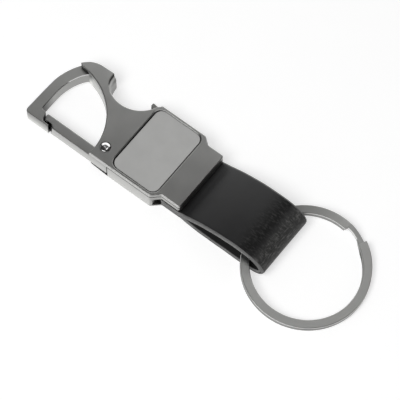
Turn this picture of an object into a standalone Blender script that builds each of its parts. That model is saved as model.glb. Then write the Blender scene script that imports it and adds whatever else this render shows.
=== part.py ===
"""Carabiner keychain with bottle opener, leather loop and split ring.

Run with:  blender --background --python part.py
Units are metres, +Z is up.  The keychain lies on its back: the underside of
the metal frame is at z = 0, the long axis is X (snap hook at -X, split ring at
+X) and the gate of the snap hook is on the -Y side.

All sizes below are in millimetres in the "body frame": x runs along the body,
y = 0 is the centre line of the metal body.  (OX, OY) moves the body frame so
that the origin is under the middle of the whole keychain.
"""
import bpy
import bmesh
import math
from mathutils import Matrix, Vector

for ob in list(bpy.data.objects):
    bpy.data.objects.remove(ob, do_unlink=True)

MM = 0.001

# ------------------------------------------------------------------ placement
OX, OY = -19.32, 0.986           # body frame -> world, mm

# ------------------------------------------------------------ metal body, mm
BODY_T = 6.8                     # thickness of the closed metal body
COVER_Z = 5.5                    # underside of the front cover
SEAM = 0.15                      # open seam between fixed metal pieces
FRAME_Z = COVER_Z - SEAM         # top of the frame casting
HOOK_Z = 1.3                     # underside of the hook arm and of the gate slot
HALF_W = 11.6                    # half width of the body
CLASP_Y = (-9.40, 9.85)          # sides of the strap clasp
CLASP_X = 18.22                  # mouth of the clasp
SHOULDER_NEAR = (9.7, 12.1)      # sloping shoulder between body and clasp on the gate's side
SHOULDER_FAR = (10.75, 12.9)     # and on the opener's side
EDGE = 0.25                      # chamfer along the outer edges
CARAB = (-30.056, -10.226, 19.215, 18.032)    # ellipse of the carabiner opening
OPENER = (-13.33, 14.05, 8.93)   # circle of the bottle opener mouth
OPENER_SIDE_Y = 10.75            # where that circle meets the side corner
HOOK_TIP_X = -20.5               # hook end of the opener, at the front cover
HOOK_LIP_X = -19.57              # the same end lower down, on the frame
ARM_IN_X = -29.82                # inner face of the hook arm
NOSE_Y = -11.8                   # outer face of the nose

# inlay pocket in the front cover
POCKET = (-4.6, 10.7, 10.75, 2.3)            # x0, x1, half width, corner radius
POCKET_Z = 5.82                  # floor of the pocket
TRAY_Z = 4.9                     # underside of the thick pocket floor
INLAY_GAP = 0.22
INLAY_T = 0.30
INLAY_Z = 6.14                   # underside of the inlay plate
PC_Y = 0.1                       # the pocket sits a hair off the centre line

# gate, rivet and spring
PIVOT = (-8.5, -7.55)
GATE_IN_Y, GATE_OUT_Y = -8.6, -11.6
GATE_Z = (1.5, 5.3)
GATE_HEEL_X = -5.05
HUB_R, HUB_TOP = 2.3, 3.3
SHELF_Z, TIP_Z = 2.9, 3.05       # top of the nose's shelf, underside of the gate's tip over it
TIP_X = -24.9
RIVET_R, BORE_R = 0.95, 1.03
SPRING_MEAN_R, SPRING_WIRE_R, SPRING_TURNS = 1.58, 0.18, 2.25

# clasp and strap
SLOT_Z = (1.05, 4.4)             # the strap slot between the two jaws
SLOT_X = 10.2                    # its closed end
STUB_X = (10.6, 17.45)
STRAP_HALF = 9.6
PLY_GAP = 0.10
FLEX = (19.4, 2.7, 1.65)         # bend line of the strap: x, z, root radius
LEATHER_T = 1.6                  # two plies
PIN_X, PIN_Y, PIN_R = 13.9, 5.5, 0.7

# split ring
RING_C = (54.0, -0.986, 2.4135)  # centre of the ring
RING_TILT = 4.8                  # degrees; the ring leans on the loop
RING_IN, RING_OUT = 15.0, 17.5   # inner and outer radius
WIRE_T, WIRE_GAP = 0.92, 0.06    # each turn, and the gap between turns
JOG = (84.0, 63.0)               # the wire steps down between these angles
SWING_X = 40.5                   # swing axis of the ring inside the loop

SCREWS = ((-2.3, 8.2), (8.4, 8.2), (-2.3, -8.0), (8.4, -8.0))


# =================================================================== helpers
def W(x, y, z):
    """Body frame in mm to world metres."""
    return Vector(((x + OX) * MM, (y + OY) * MM, z * MM))


def material(name, rgb, rough, metal):
    m = bpy.data.materials.new(name)
    m.use_nodes = True
    b = m.node_tree.nodes["Principled BSDF"]
    b.inputs["Base Color"].default_value = (*rgb, 1.0)
    b.inputs["Roughness"].default_value = rough
    b.inputs["Metallic"].default_value = metal
    return m


def arc(cx, cy, r, a0, a1, n):
    return [(cx + r * math.cos(math.radians(a0 + (a1 - a0) * i / n)),
             cy + r * math.sin(math.radians(a0 + (a1 - a0) * i / n))) for i in range(n + 1)]


def bezier(p0, p1, p2, p3, t0, t1, n):
    out = []
    for i in range(n + 1):
        t = t0 + (t1 - t0) * i / n
        s = 1 - t
        out.append(tuple(s ** 3 * p0[k] + 3 * s * s * t * p1[k] + 3 * s * t * t * p2[k] + t ** 3 * p3[k]
                         for k in (0, 1)))
    return out


def ellipse_by_x(x_from, y_to, n):
    """The carabiner ellipse, from its point at x_from down its right side to y_to."""
    cx, cy, a, b = CARAB
    t0 = math.acos((x_from - cx) / a)
    t1 = math.asin((y_to - cy) / b)
    return [(cx + a * math.cos(t0 + (t1 - t0) * i / n), cy + b * math.sin(t0 + (t1 - t0) * i / n))
            for i in range(n + 1)]


def opener_arc(y_right, left, n):
    """Mouth of the opener, from its right end round the bottom to angle left."""
    cx, cy, r = OPENER
    a0 = math.degrees(math.asin((y_right - cy) / r))
    return arc(cx, cy, r, a0, left, n)


def round_rect(x0, x1, y0, y1, r, n=6):
    pts = []
    for cx, cy, a in ((x1 - r, y0 + r, -90), (x1 - r, y1 - r, 0), (x0 + r, y1 - r, 90), (x0 + r, y0 + r, 180)):
        pts += arc(cx, cy, r, a, a + 90, n)
    return pts


def offset(poly, d):
    """Inset a counter-clockwise outline by d (mitred, with the mitre limited)."""
    out = []
    n = len(poly)
    for i in range(n):
        a, b, c = Vector(poly[i - 1]), Vector(poly[i]), Vector(poly[(i + 1) % n])
        e0, e1 = (b - a).normalized(), (c - b).normalized()
        n0, n1 = Vector((-e0.y, e0.x)), Vector((-e1.y, e1.x))
        m = n0 + n1
        if m.length < 1e-6:
            m = n0
        m.normalize()
        k = d / max(0.45, m.dot(n0))
        p = b + m * k
        out.append((p.x, p.y))
    return out


def mesh_object(name, verts, faces, mat=None, origin=None, smooth=None):
    """verts in world metres; the object's origin goes to `origin` (world metres)."""
    o = Vector(origin) if origin is not None else Vector((0, 0, 0))
    me = bpy.data.meshes.new(name)
    me.from_pydata([tuple(Vector(v) - o) for v in verts], [], faces)
    bm = bmesh.new()
    bm.from_mesh(me)
    bmesh.ops.recalc_face_normals(bm, faces=bm.faces)
    bm.to_mesh(me)
    bm.free()
    ob = bpy.data.objects.new(name, me)
    ob.location = o
    bpy.context.scene.collection.objects.link(ob)
    if mat:
        me.materials.append(mat)
    if smooth is not None:
        me.shade_smooth()
        me.set_sharp_from_angle(angle=math.radians(smooth))
    return ob


def stack(name, rings, mat=None, origin=None, smooth=30):
    """Close a stack of equal rings [(outline, z), ...] into one solid."""
    n = len(rings[0][0])
    verts, faces = [], []
    for poly, z in rings:
        verts += [W(x, y, z) for x, y in poly]
    for k in range(len(rings) - 1):
        for i in range(n):
            j = (i + 1) % n
            faces.append((k * n + i, k * n + j, (k + 1) * n + j, (k + 1) * n + i))
    faces.append(tuple(reversed(range(n))))
    faces.append(tuple(range((len(rings) - 1) * n, len(rings) * n)))
    return mesh_object(name, verts, faces, mat, origin, smooth)


def prism(name, poly, z0, z1, **kw):
    return stack(name, [(poly, z0), (poly, z1)], **kw)


def cutter(ob):
    ob.hide_render = True
    ob.display_type = 'WIRE'
    return ob


def boolean(ob, tools, op='DIFFERENCE'):
    for t in tools:
        cutter(t)
        m = ob.modifiers.new(t.name, 'BOOLEAN')
        m.operation = op
        m.solver = 'EXACT'
        m.object = t


def disc(x, y, r, z0, z1, n, name):
    return prism(name, arc(x, y, r, 0, 360 - 360 / n, n - 1), z0, z1)


def turned(name, centre, profile, n, mat, origin=None):
    """Solid of revolution about a vertical axis, closed on the axis."""
    verts, faces, rows = [], [], []
    cx, cy = centre
    for r, z in profile:
        if r < 1e-6:
            rows.append([len(verts)])
            verts.append(W(cx, cy, z))
        else:
            rows.append(list(range(len(verts), len(verts) + n)))
            verts += [W(cx + r * math.cos(2 * math.pi * i / n), cy + r * math.sin(2 * math.pi * i / n), z)
                      for i in range(n)]
    for a, b in zip(rows, rows[1:]):
        for i in range(n):
            j = (i + 1) % n
            if len(a) == 1 and len(b) > 1:
                faces.append((a[0], b[j], b[i]))
            elif len(b) == 1 and len(a) > 1:
                faces.append((a[i], a[j], b[0]))
            elif len(a) > 1:
                faces.append((a[i], a[j], b[j], b[i]))
    return mesh_object(name, verts, faces, mat, origin, 35)


def extrude_y(name, profile, y0, y1, mat, origin=None):
    """Close an XZ outline (body frame, mm) between two Y planes."""
    n = len(profile)
    verts = [W(x, y0, z) for x, z in profile] + [W(x, y1, z) for x, z in profile]
    faces = [(i, (i + 1) % n, n + (i + 1) % n, n + i) for i in range(n)]
    faces += [tuple(range(n)), tuple(reversed(range(n, 2 * n)))]
    return mesh_object(name, verts, faces, mat, origin, 30)


def smooth_route(ctrl, per):
    """Centripetal-free Catmull-Rom curve through ctrl, `per` steps a span."""
    pts = [tuple(2 * ctrl[0][k] - ctrl[1][k] for k in (0, 1))] + list(ctrl) + \
          [tuple(2 * ctrl[-1][k] - ctrl[-2][k] for k in (0, 1))]
    out = []
    for i in range(1, len(pts) - 2):
        p0, p1, p2, p3 = pts[i - 1:i + 3]
        for s in range(per):
            t = s / per
            out.append(tuple(0.5 * (2 * p1[k] + (p2[k] - p0[k]) * t
                                    + (2 * p0[k] - 5 * p1[k] + 4 * p2[k] - p3[k]) * t * t
                                    + (3 * p1[k] - p0[k] - 3 * p2[k] + p3[k]) * t ** 3) for k in (0, 1)))
    out.append(ctrl[-1])
    return out


# ================================================================= materials
GUNMETAL = material("gunmetal_satin", (0.20, 0.20, 0.19), 0.36, 1.0)
GUNMETAL_DARK = material("gunmetal_cast", (0.17, 0.17, 0.16), 0.42, 1.0)
INLAY_MAT = material("inlay_satin_steel", (0.38, 0.38, 0.37), 0.40, 1.0)
CHROME = material("polished_steel", (0.75, 0.75, 0.75), 0.08, 1.0)
STEEL = material("spring_steel", (0.45, 0.45, 0.44), 0.25, 1.0)
SCREW_MAT = material("zinc_plated_steel", (0.5, 0.5, 0.52), 0.35, 1.0)
RING_MAT = material("nickel_plated_steel", (0.30, 0.30, 0.29), 0.30, 1.0)
TOOTH_MAT = material("hardened_steel", (0.16, 0.16, 0.16), 0.35, 1.0)
ADHESIVE = material("adhesive_film", (0.72, 0.70, 0.62), 0.6, 0.0)
LEATHER = material("black_leather", (0.028, 0.028, 0.030), 0.48, 0.0)
LINING = material("leather_lining", (0.045, 0.045, 0.046), 0.6, 0.0)
PIN_MAT = material("steel_pin", (0.5, 0.5, 0.5), 0.3, 1.0)

# ================================================================== outlines
OUT0, OUT1, OUT2, OUT3 = (-24.0, 11.25), (-29.2, 11.25), (-32.2, 6.0), (-32.2, -1.0)
r = 0.65
SIDE_AND_CLASP = ([(SHOULDER_NEAR[0], -HALF_W), (SHOULDER_NEAR[1], CLASP_Y[0])]
                  + arc(CLASP_X - r, CLASP_Y[0] + r, r, -90, 0, 4)
                  + arc(CLASP_X - r, CLASP_Y[1] - r, r, 0, 90, 4)
                  + [(SHOULDER_FAR[1], CLASP_Y[1]), (SHOULDER_FAR[0], HALF_W)])
CORNER = arc(-3.75, HALF_W - 0.75, 0.75, 90, 158, 4)      # rounded corner beside the opener


def cover_outline():
    p = [(ellipse_by_x(-20, -HALF_W, 4)[-1])]
    p += SIDE_AND_CLASP + CORNER
    p += opener_arc(OPENER_SIDE_Y - 0.35, -134.0, 30)
    p += [(-20.06, 8.5), (-20.33, 9.3), (-20.47, 10.2), (HOOK_TIP_X, 11.15), (-20.66, 11.38)]
    p += bezier((OUT0[0], OUT0[1] + 0.05), (-29.45, 11.4), (-32.5, 6.2), (-32.5, -1.0), 0.0, 0.455, 9)
    p += ellipse_by_x(-29.15, -HALF_W, 34)[:-1]
    return p


def frame_outline():
    p = [(ellipse_by_x(-20, -HALF_W, 4)[-1])]
    p += SIDE_AND_CLASP + CORNER
    p += opener_arc(OPENER_SIDE_Y - 0.35, -126.0, 26)
    p += [(-18.75, 7.5), (-19.15, 8.6), (-19.45, 9.8), (HOOK_LIP_X, 10.7), (-19.85, 11.15)]
    p += bezier(OUT0, OUT1, OUT2, OUT3, 0.0, 1.0, 16)
    p += [(-32.45, -5.5), (-32.8, -10.3)]
    p += arc(-31.7, NOSE_Y + 1.1, 1.1, 190, 262, 5)
    p += [(-30.6, NOSE_Y), (-25.12, NOSE_Y), (-25.35, -11.28)]               # lip of the nose
    p += [(-27.25, -11.08), (-27.72, -10.45), (-28.18, -9.1), (-28.55, -8.62), (-29.45, -8.5), (ARM_IN_X, -8.1)]
    p += bezier((ARM_IN_X, -3.0), (ARM_IN_X, 2.5), (-27.6, 6.2), (-26.15, 7.38), 0.0, 1.0, 12)
    p += ellipse_by_x(-25.6, -HALF_W, 30)[:-1]
    return p


COVER = cover_outline()
FRAME = frame_outline()

# ================================================================ body frame
frame = stack("body_frame", [(offset(FRAME, EDGE * 0.6), 0.0), (FRAME, EDGE * 0.6), (FRAME, FRAME_Z)],
              mat=GUNMETAL_DARK)
# the hook arm is thinner than the body: clear everything below it
arm_under = [(-25.5, 0.0)] + [(x, y - 0.0) for x, y in reversed(ellipse_by_x(-29.3, 6.6, 10))] + \
            [(-30.1, 8.55), (-36.0, 10.0), (-36.0, -16.0), (-20.0, -16.0), (-20.0, 0.0)]
arm_under_cut = prism("cut_under_arm", arm_under, -1.0, HOOK_Z)
slot_poly = [(SLOT_X, -14), (21, -14), (21, 14), (10.8, 14), (10.8, 10.6), (SLOT_X, 9.9)]
strap_slot_cut = prism("cut_strap_slot", slot_poly, SLOT_Z[0], SLOT_Z[1])
hub_cut = disc(PIVOT[0], PIVOT[1], 2.75, HOOK_Z, 7.0, 32, "cut_hub")
gate_path_cut = prism("cut_gate_path", [(-15.0, -14.0), (PIVOT[0], -14.0), (PIVOT[0], -7.0), (-15.0, -7.0)],
                      HOOK_Z + 0.0005, 7.1)
heel_cut = prism("cut_heel", [(PIVOT[0] - 0.2, -13.9), (-4.75, -13.9), (-4.75, -8.3), (PIVOT[0] - 0.2, -8.3)],
                 HOOK_Z + 0.001, 7.2)
leg_cut = prism("cut_spring_leg", [(-7.4, -6.0), (-6.45, -6.0), (-6.45, -3.0), (-7.4, -3.0)], 4.2, 7.0)
side_relief_cut = prism("cut_side_relief", [(-12.5, -13.0), (-4.75, -13.0), (-4.75, -11.54), (-12.5, -11.12)],
                        -1.0, HOOK_Z - 0.3)
under_gate_cut = prism("cut_under_gate", [(-12.4, -12.9), (-4.752, -12.9), (-4.752, -10.7), (-12.4, -10.7)],
                       HOOK_Z - 0.301, HOOK_Z + 0.2)
rivet_hole = disc(PIVOT[0], PIVOT[1], BORE_R + 0.04, -1.0, 3.0, 24, "cut_rivet_hole")
rivet_sink = disc(PIVOT[0], PIVOT[1], 1.75, -1.0, 0.75, 28, "cut_rivet_sink")
tray_recess = prism("cut_tray_recess", round_rect(-4.3, 10.35, PC_Y - 9.7, PC_Y + 9.7, 1.5), TRAY_Z - SEAM, 8.0)
tooth_slot = prism("cut_tooth_slot", [(-9.0, 9.55), (-2.9, 9.55), (-2.9, 13.0), (-9.0, 13.0)], 2.05, 8.0)
pin_holes = [disc(PIN_X, s * PIN_Y, PIN_R + 0.1, 0.45, 5.1, 20, "cut_pin_%s" % n) for s, n in ((1, "a"), (-1, "b"))]
screw_holes = [disc(x, y, 0.78, 1.7, 6.0, 16, "cut_screw_%d" % i) for i, (x, y) in enumerate(SCREWS)]


def scoop(name, top_z):
    """Bevelled, forward-leaning lip at the hook end of the opener."""
    low = [(-19.55, 14.0), (-19.55, 10.7), (-19.4, 9.6), (-19.15, 8.6), (-18.7, 7.45), (-17.6, 5.95),
           (-14.0, 7.5), (-14.0, 14.0)]
    high = [(-20.5, 14.0), (-20.5, 11.2), (-20.4, 9.75), (-20.15, 8.8), (-19.75, 7.9), (-18.3, 6.33),
            (-14.0, 7.5), (-14.0, 14.0)]
    return stack(name, [(low, 3.9), (high, FRAME_Z + 0.01), (high, top_z)])


# low shelf of the nose; the tip of the gate rests over it
shelf = prism("add_nose_shelf", [(-28.9, -11.5), (-25.35, -11.5), (-25.12, -11.2), (-25.12, -9.0), (-28.9, -9.0)],
              HOOK_Z + 0.0003, SHELF_Z)
boolean(frame, [shelf], 'UNION')
boolean(frame, [arm_under_cut, strap_slot_cut, hub_cut, gate_path_cut, heel_cut, leg_cut, side_relief_cut,
                under_gate_cut, rivet_hole, rivet_sink, tray_recess, tooth_slot, scoop("cut_scoop_frame", 6.6)]
        + pin_holes + screw_holes)

# =============================================================== front cover
cover = stack("front_cover", [(offset(COVER, 0.04), COVER_Z), (COVER, COVER_Z + 0.05), (COVER, BODY_T - EDGE),
                              (offset(COVER, EDGE), BODY_T)], mat=GUNMETAL)
tray = prism("add_tray", round_rect(-4.1, 10.15, PC_Y - 9.5, PC_Y + 9.5, 1.3), TRAY_Z, COVER_Z + 0.3)
pk = round_rect(POCKET[0], POCKET[1], PC_Y - POCKET[2], PC_Y + POCKET[2], POCKET[3], 8)
pocket_cut = stack("cut_pocket", [(pk, POCKET_Z), (pk, BODY_T - 0.22), (offset(pk, -0.24), BODY_T + 0.02),
                                  (offset(pk, -0.24), BODY_T + 1)])
cover_rivet_hole = disc(PIVOT[0], PIVOT[1], BORE_R + 0.04, 4.0, 9.0, 24, "cut_cover_rivet")
cover_rivet_sink = disc(PIVOT[0], PIVOT[1], 1.58, 6.2, 9.0, 32, "cut_cover_rivet_sink")
cover_screw_cuts = []
for i, (x, y) in enumerate(SCREWS):
    cover_screw_cuts.append(stack("cut_cs_%d" % i, [(arc(x, y, 0.82, 0, 345, 23), 4.0),
                                                    (arc(x, y, 0.82, 0, 345, 23), 5.05),
                                                    (arc(x, y, 1.5, 0, 345, 23), 5.72),
                                                    (arc(x, y, 1.5, 0, 345, 23), 6.6)]))
boolean(cover, [tray], 'UNION')
boolean(cover, [pocket_cut, cover_rivet_hole, cover_rivet_sink] + cover_screw_cuts)

# ========================================================= inlay and fixings
ip = round_rect(POCKET[0] + INLAY_GAP, POCKET[1] - INLAY_GAP, PC_Y - POCKET[2] + INLAY_GAP,
                PC_Y + POCKET[2] - INLAY_GAP, POCKET[3] - INLAY_GAP, 8)
stack("front_inlay", [(ip, INLAY_Z), (ip, INLAY_Z + INLAY_T - 0.06), (offset(ip, 0.06), INLAY_Z + INLAY_T)],
      mat=INLAY_MAT)
prism("inlay_adhesive", offset(ip, 0.6), 5.93, 6.04, mat=ADHESIVE)
for i, c in enumerate(SCREWS):
    turned("cover_screw_%d" % (i + 1), c, [(0, 2.0), (0.55, 2.0), (0.7, 2.2), (0.7, 5.02), (1.36, 5.70),
                                           (1.36, 5.78), (0.62, 5.78), (0.5, 5.45), (0, 5.45)], 20, SCREW_MAT)
prism("opener_tooth", [(-7.2, 10.6), (-6.6, 9.8), (-3.1, 9.7), (-3.1, 10.95), (-6.85, 11.5), (-7.2, 11.3)],
      2.2, 5.2, mat=TOOTH_MAT)

# ====================================================================== gate
pivot_w = W(PIVOT[0], PIVOT[1], 0.0)


def gate_outline(low):
    """The gate's shoulder leans towards the nose at the bottom (low = 1)."""
    d = -0.62 * low
    return [(-23.72 + d, GATE_OUT_Y), (GATE_HEEL_X - 0.25, GATE_OUT_Y), (GATE_HEEL_X, GATE_OUT_Y + 0.25),
            (GATE_HEEL_X, GATE_IN_Y), (-26.95, GATE_IN_Y), (-27.36, -8.8), (-27.5, -9.2),
            (-27.05, -10.3), (-26.88, -10.72), (-24.72 + d * 0.3, -10.74), (-24.45 + d * 0.8, -11.05)]


gate = stack("gate", [(offset(gate_outline(1), 0.15), GATE_Z[0]), (gate_outline(1), GATE_Z[0] + 0.15),
                      (gate_outline(0), GATE_Z[1] - 0.15), (offset(gate_outline(0), 0.15), GATE_Z[1])],
             mat=GUNMETAL, origin=pivot_w)
hub = prism("add_hub", arc(PIVOT[0], PIVOT[1], HUB_R, 0, 348.75, 31), GATE_Z[0] + 0.01, HUB_TOP)
gate_pocket = prism("cut_gate_pocket", [(-11.15, -9.75), (-4.0, -9.75), (-4.0, -4.0), (-11.15, -4.0)], HUB_TOP, 7.0)
gate_bore = disc(PIVOT[0], PIVOT[1], BORE_R, 0.0, 6.9, 28, "cut_gate_bore")
boolean(gate, [hub], 'UNION')
tip_cut = prism("cut_gate_tip", [(-30.0, -12.5), (TIP_X, -12.5), (TIP_X, -8.0), (-30.0, -8.0)], 0.5, TIP_Z)
boolean(gate, [gate_pocket, gate_bore, tip_cut])

rivet = turned("gate_rivet", PIVOT, [(0, 0.18), (1.15, 0.18), (1.5, 0.32), (1.5, 0.62), (RIVET_R, 0.62),
                                       (RIVET_R, 6.32), (1.43, 6.32), (1.43, 6.72), (1.36, 6.92), (1.15, 7.08),
                                       (0.85, 7.17), (0.5, 7.2), (0.3, 7.16), (0.16, 7.04), (0, 7.0)], 28, CHROME)

# torsion spring round the rivet: one leg on the gate, one in the frame
px, py = PIVOT
path = [Vector((px - 2.25, py - SPRING_MEAN_R, 3.62))]
z_lo, z_hi = 3.62, 4.95
steps = int(SPRING_TURNS * 20)
for i in range(steps + 1):
    a = math.radians(-90 + 360 * SPRING_TURNS * i / steps)
    path.append(Vector((px + SPRING_MEAN_R * math.cos(a), py + SPRING_MEAN_R * math.sin(a),
                        z_lo + (z_hi - z_lo) * i / steps)))
path.append(path[-1] + Vector((0.0, 2.6, 0.02)))
sv, sf = [], []
NS = 8
for i, p in enumerate(path):
    t = (path[min(i + 1, len(path) - 1)] - path[max(i - 1, 0)]).normalized()
    up = Vector((0, 0, 1))
    side = t.cross(up).normalized()
    nrm = side.cross(t).normalized()
    for k in range(NS):
        a = 2 * math.pi * k / NS
        q = p + side * SPRING_WIRE_R * math.cos(a) + nrm * SPRING_WIRE_R * math.sin(a)
        sv.append(W(*q))
for i in range(len(path) - 1):
    for k in range(NS):
        m = (k + 1) % NS
        sf.append((i * NS + k, i * NS + m, (i + 1) * NS + m, (i + 1) * NS + k))
sf.append(tuple(range(NS)))
sf.append(tuple(range((len(path) - 1) * NS, len(path) * NS)))
mesh_object("gate_spring", sv, sf, STEEL, None, 40)

# ===================================================================== strap
for name, z0, z1 in (("strap_end_upper", 2.80, 4.22), ("strap_end_lower", 1.23, 2.65)):
    stub = prism(name, round_rect(STUB_X[0], STUB_X[1], -9.5, 9.5, 0.5, 3), z0, z1, mat=LEATHER)
    boolean(stub, [disc(PIN_X, s * PIN_Y, PIN_R + 0.1, 0.0, 6.0, 20, "cut_%s_%s" % (name, n))
                   for s, n in ((1, "a"), (-1, "b"))])
for i, s in enumerate((1, -1)):
    turned("strap_pin_%d" % (i + 1), (PIN_X, s * PIN_Y),
           [(0, 0.6), (0.55, 0.6), (PIN_R, 0.75), (PIN_R, 4.8), (0.55, 4.95), (0, 4.95)], 20, PIN_MAT)

LOOP = [(20.4, 4.62), (22.2, 5.40), (25.0, 6.45), (28.4, 7.38), (31.8, 8.02), (35.2, 8.36), (38.4, 8.40),
        (41.2, 8.08), (43.4, 7.35), (45.2, 6.15), (46.25, 4.7), (46.5, 3.35), (46.0, 2.0), (44.9, 0.95),
        (43.2, 0.32), (40.8, 0.12), (37.0, 0.10), (33.0, 0.10), (29.0, 0.12), (25.5, 0.20), (22.6, 0.50),
        (20.4, 0.90)]
fx, fz, fr = FLEX
outer = smooth_route([(fx, fz + fr)] + LOOP + [(fx, fz - fr)], 3)


def inset_open(route, d):
    """Offset an open clockwise XZ route towards the inside of the loop."""
    out = []
    for i, p in enumerate(route):
        a = Vector(route[max(i - 1, 0)])
        b = Vector(route[min(i + 1, len(route) - 1)])
        t = (b - a).normalized()
        if i in (0, len(route) - 1):
            t = Vector((1, 0)) if i == 0 else Vector((-1, 0))
        nn = Vector((t.y, -t.x))
        q = Vector(p) + nn * d
        out.append((q.x, q.y))
    return out


def root_arc(z_from, z_to, n=4):
    """Points on the rounded root of the loop between two heights."""
    out = []
    for i in range(n + 1):
        z = z_from + (z_to - z_from) * i / n
        out.append((fx - math.sqrt(max(0.0, fr * fr - (z - fz) ** 2)), z))
    return out


def ply(name, d0, d1, mat):
    o = inset_open(outer, d0) if d0 else list(outer)
    i_ = inset_open(outer, d1)
    prof = o + root_arc(o[-1][1], i_[-1][1]) + list(reversed(i_)) + root_arc(i_[0][1], o[0][1])
    clean = [prof[0]]
    for p in prof[1:]:
        if (Vector(p) - Vector(clean[-1])).length > 0.02:
            clean.append(p)
    if (Vector(clean[0]) - Vector(clean[-1])).length < 0.02:
        clean.pop()
    return extrude_y(name, clean, -STRAP_HALF, STRAP_HALF, mat, W(fx, 0.0, fz))


ply("strap_outer_ply", 0.0, LEATHER_T / 2 - PLY_GAP / 2, LEATHER)
ply("strap_lining_ply", LEATHER_T / 2 + PLY_GAP / 2, LEATHER_T, LINING)

# ================================================================ split ring
tilt = math.radians(RING_TILT)
ux, uz = math.cos(tilt), -math.sin(tilt)
nx, nz = math.sin(tilt), math.cos(tilt)


def ring_point(rad, deg, h):
    a = math.radians(deg)
    lx, ly = rad * math.cos(a), rad * math.sin(a)
    return W(RING_C[0] + lx * ux + h * nx, RING_C[1] + ly, RING_C[2] + lx * uz + h * nz)


half = (WIRE_T + WIRE_GAP) / 2
stops = []
a = JOG[1]
while a > JOG[0] - 360 + 0.01:                      # upper turn, clockwise
    stops.append((a, half))
    a -= 339.0 / 56
for i in range(0, 9):                               # the step down
    t = i / 8
    s = t * t * (3 - 2 * t)
    stops.append((JOG[0] - 360 - (JOG[0] - JOG[1]) * t, half - 2 * half * s))
a = JOG[1] - 360 - 338.0 / 56
for i in range(56):                                 # lower turn
    stops.append((a, -half))
    a -= 338.0 / 56
rv, rf = [], []
c = 0.12                                            # rounded wire edges
for deg, h in stops:
    for rad, dz in ((RING_IN, -WIRE_T / 2 + c), (RING_IN + c, -WIRE_T / 2), (RING_OUT - c, -WIRE_T / 2),
                    (RING_OUT, -WIRE_T / 2 + c), (RING_OUT, WIRE_T / 2 - c), (RING_OUT - c, WIRE_T / 2),
                    (RING_IN + c, WIRE_T / 2), (RING_IN, WIRE_T / 2 - c)):
        rv.append(ring_point(rad, deg, h + dz))
for i in range(len(stops) - 1):
    for k in range(8):
        m = (k + 1) % 8
        rf.append((i * 8 + k, i * 8 + m, (i + 1) * 8 + m, (i + 1) * 8 + k))
rf.append(tuple(range(8)))
rf.append(tuple(range((len(stops) - 1) * 8, len(stops) * 8)))
swing_z = RING_C[2] + (SWING_X - RING_C[0]) * uz / ux
mesh_object("split_ring", rv, rf, RING_MAT, W(SWING_X, RING_C[1], swing_z), 35)

# ============================================================ one assembly
root = bpy.data.objects.new("keychain", None)
bpy.context.scene.collection.objects.link(root)
for ob in list(bpy.data.objects):
    if ob is not root and ob.parent is None:
        ob.parent = root
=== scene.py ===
import math

import bmesh
import bpy
from mathutils import Matrix, Vector, noise


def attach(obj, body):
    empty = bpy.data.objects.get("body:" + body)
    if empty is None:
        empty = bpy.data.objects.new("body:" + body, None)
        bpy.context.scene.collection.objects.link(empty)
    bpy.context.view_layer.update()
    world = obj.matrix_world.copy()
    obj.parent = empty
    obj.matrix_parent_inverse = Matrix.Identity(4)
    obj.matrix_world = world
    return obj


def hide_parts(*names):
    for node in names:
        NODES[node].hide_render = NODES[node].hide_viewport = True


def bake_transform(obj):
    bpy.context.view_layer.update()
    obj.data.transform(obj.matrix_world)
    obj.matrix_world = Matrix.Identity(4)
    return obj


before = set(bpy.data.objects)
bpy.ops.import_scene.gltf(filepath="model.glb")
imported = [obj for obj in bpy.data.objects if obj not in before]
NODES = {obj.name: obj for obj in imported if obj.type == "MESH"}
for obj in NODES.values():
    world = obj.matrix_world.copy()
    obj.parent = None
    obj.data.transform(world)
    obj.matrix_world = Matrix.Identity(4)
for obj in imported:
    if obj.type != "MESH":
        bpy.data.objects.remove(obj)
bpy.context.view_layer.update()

scene = bpy.context.scene
MM = 0.001
OX, OY = -19.32, 0.986           # body frame (mm) to the row frame


# =================================================================== helpers
def W(x, y, z):
    return Vector(((x + OX) * MM, (y + OY) * MM, z * MM))


def arc(cx, cy, r, a0, a1, n):
    return [(cx + r * math.cos(math.radians(a0 + (a1 - a0) * i / n)),
             cy + r * math.sin(math.radians(a0 + (a1 - a0) * i / n))) for i in range(n + 1)]


def bezier(p0, p1, p2, p3, t0, t1, n):
    out = []
    for i in range(n + 1):
        t = t0 + (t1 - t0) * i / n
        s = 1 - t
        out.append(tuple(s ** 3 * p0[k] + 3 * s * s * t * p1[k] + 3 * s * t * t * p2[k] + t ** 3 * p3[k]
                         for k in (0, 1)))
    return out


CARAB = (-30.056, -10.226, 19.215, 18.032)
OPENER = (-13.33, 14.05, 8.93)


def ellipse_by_x(x_from, y_to, n):
    cx, cy, a, b = CARAB
    t0 = math.acos((x_from - cx) / a)
    t1 = math.asin((y_to - cy) / b)
    return [(cx + a * math.cos(t0 + (t1 - t0) * i / n), cy + b * math.sin(t0 + (t1 - t0) * i / n))
            for i in range(n + 1)]


def opener_arc(y_right, left, n):
    cx, cy, r = OPENER
    return arc(cx, cy, r, math.degrees(math.asin((y_right - cy) / r)), left, n)


def round_rect(x0, x1, y0, y1, r, n=6):
    pts = []
    for cx, cy, a in ((x1 - r, y0 + r, -90), (x1 - r, y1 - r, 0), (x0 + r, y1 - r, 90), (x0 + r, y0 + r, 180)):
        pts += arc(cx, cy, r, a, a + 90, n)
    return pts


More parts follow.
